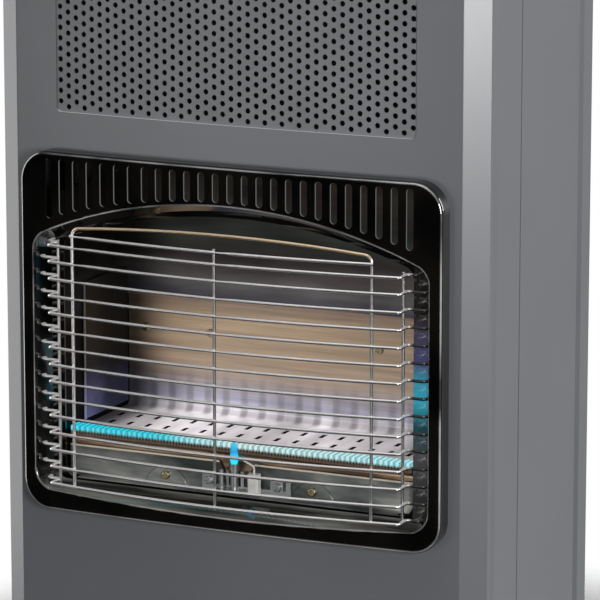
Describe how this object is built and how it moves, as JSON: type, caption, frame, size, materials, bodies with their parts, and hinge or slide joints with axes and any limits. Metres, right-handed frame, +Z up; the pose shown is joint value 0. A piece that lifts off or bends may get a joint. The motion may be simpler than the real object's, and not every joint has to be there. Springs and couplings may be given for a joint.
{
  "type": "portable gas cabinet heater",
  "caption": "Castor-mounted cabinet heater with bowed front, perforated hot-air outlet, enamelled fire surround with wire guard, blue-flame burner and rear gas bottle bay.",
  "frame": {"origin": "on the floor under the centre of the whole heater", "axes": "+Z up, the bowed front with its fire faces -Y, +X to the right seen from the front"},
  "size_m": [0.4032, 0.4571, 0.7465],
  "materials": {
    "painted_steel": "satin grey powder coat",
    "grille_paint": "satin grey coat on perforated sheet",
    "black_enamel": "gloss black vitreous enamel",
    "chromed_wire": "bright chrome plated wire",
    "galvanised_steel": "zinc coated sheet",
    "polished_stainless": "polished stainless, heat tinted",
    "dark_liner": "matt heat-darkened steel",
    "burner_steel": "heat-tinted stainless",
    "flame_ports": "port strip lit by the flame",
    "zinc_screw": "zinc plated",
    "brass": "machined brass",
    "copper_pipe": "bright drawn copper",
    "die_cast": "die-cast body",
    "white_ceramic": "glazed white",
    "black_plastic": "fine matt",
    "button_plastic": "gloss red",
    "castor_steel": "zinc plated pressing",
    "wheel_plastic": "moulded nylon"
  },
  "bodies": {
    "heater": {"base_plate": "galvanised_steel", "burner_brackets": "galvanised_steel", "burner_pipe": "copper_pipe", "burner_port_strip": "flame_ports", "burner_surround": "black_enamel", "burner_tube": "burner_steel", "castor_bolts": "zinc_screw", "castor_plates": "castor_steel", "control_bezel": "black_plastic", "divider_panel": "galvanised_steel", "firebox_shell": "dark_liner", "front_casing": "painted_steel", "gas_inlet_nozzle": "brass", "gas_valve": "die_cast", "igniter_body": "black_plastic", "injector_elbow": "brass", "lower_tray": "galvanised_steel", "outlet_duct": "dark_liner", "outlet_grille": "grille_paint", "pilot_bracket": "galvanised_steel", "pilot_burner": "burner_steel", "pilot_pipe": "copper_pipe", "pilot_screws": "zinc_screw", "rear_screws": "zinc_screw", "rear_top_rail": "galvanised_steel", "reflector": "polished_stainless", "reflector_screws": "zinc_screw", "side_panel_left": "painted_steel", "side_panel_right": "painted_steel", "spark_electrode": "white_ceramic", "thermocouple": "burner_steel", "top_panel": "painted_steel", "tray_screws": "zinc_screw", "wire_guard": "chromed_wire"},
    "valve_plug": {"valve_plug": "brass"},
    "knob": {"knob_stem": "brass", "control_knob": "black_plastic"},
    "igniter_button": {"igniter_button": "button_plastic"},
    "rear_cover": {"rear_cover": "painted_steel"},
    "castor_fork_front_left": {"castor_fork_front_left": "castor_steel", "castor_axle_front_left": "castor_steel"},
    "castor_wheel_front_left": {"castor_wheel_front_left": "wheel_plastic"},
    "castor_fork_front_right": {"castor_fork_front_right": "castor_steel", "castor_axle_front_right": "castor_steel"},
    "castor_wheel_front_right": {"castor_wheel_front_right": "wheel_plastic"},
    "castor_fork_rear_left": {"castor_fork_rear_left": "castor_steel", "castor_axle_rear_left": "castor_steel"},
    "castor_wheel_rear_left": {"castor_wheel_rear_left": "wheel_plastic"},
    "castor_fork_rear_right": {"castor_fork_rear_right": "castor_steel", "castor_axle_rear_right": "castor_steel"},
    "castor_wheel_rear_right": {"castor_wheel_rear_right": "wheel_plastic"}
  },
  "joints": [
    {"name": "valve_turn", "type": "hinge", "parent": "heater", "child": "valve_plug", "pos_m": [0.172, -0.1014, 0.7], "axis": [0, 0, 1], "range_deg": [0, 180]},
    {"name": "knob_push", "type": "slide", "parent": "valve_plug", "child": "knob", "axis": [0, 0, -1], "range_m": [0, 0.0035], "stiffness_N_per_m": 1500},
    {"name": "igniter_push", "type": "slide", "parent": "heater", "child": "igniter_button", "axis": [0, 0, -1], "range_m": [0, 0.006], "stiffness_N_per_m": 800},
    {"name": "rear_cover_lift", "type": "slide", "parent": "heater", "child": "rear_cover", "axis": [0, 0, 1], "range_m": [0, 0.01]},
    {"name": "swivel_front_left", "type": "hinge", "parent": "heater", "child": "castor_fork_front_left", "pos_m": [-0.16, -0.1474, 0.057], "axis": [0, 0, 1], "continuous": true},
    {"name": "roll_front_left", "type": "hinge", "parent": "castor_fork_front_left", "child": "castor_wheel_front_left", "pos_m": [-0.16, -0.1294, 0.025], "axis": [1, 0, 0], "continuous": true},
    {"name": "swivel_front_right", "type": "hinge", "parent": "heater", "child": "castor_fork_front_right", "pos_m": [0.16, -0.1474, 0.057], "axis": [0, 0, 1], "continuous": true},
    {"name": "roll_front_right", "type": "hinge", "parent": "castor_fork_front_right", "child": "castor_wheel_front_right", "pos_m": [0.16, -0.1294, 0.025], "axis": [1, 0, 0], "continuous": true},
    {"name": "swivel_rear_left", "type": "hinge", "parent": "heater", "child": "castor_fork_rear_left", "pos_m": [-0.098, 0.1486, 0.057], "axis": [0, 0, 1], "continuous": true},
    {"name": "roll_rear_left", "type": "hinge", "parent": "castor_fork_rear_left", "child": "castor_wheel_rear_left", "pos_m": [-0.098, 0.1666, 0.025], "axis": [1, 0, 0], "continuous": true},
    {"name": "swivel_rear_right", "type": "hinge", "parent": "heater", "child": "castor_fork_rear_right", "pos_m": [0.098, 0.1486, 0.057], "axis": [0, 0, 1], "continuous": true},
    {"name": "roll_rear_right", "type": "hinge", "parent": "castor_fork_rear_right", "child": "castor_wheel_rear_right", "pos_m": [0.098, 0.1666, 0.025], "axis": [1, 0, 0], "continuous": true}
  ]
}
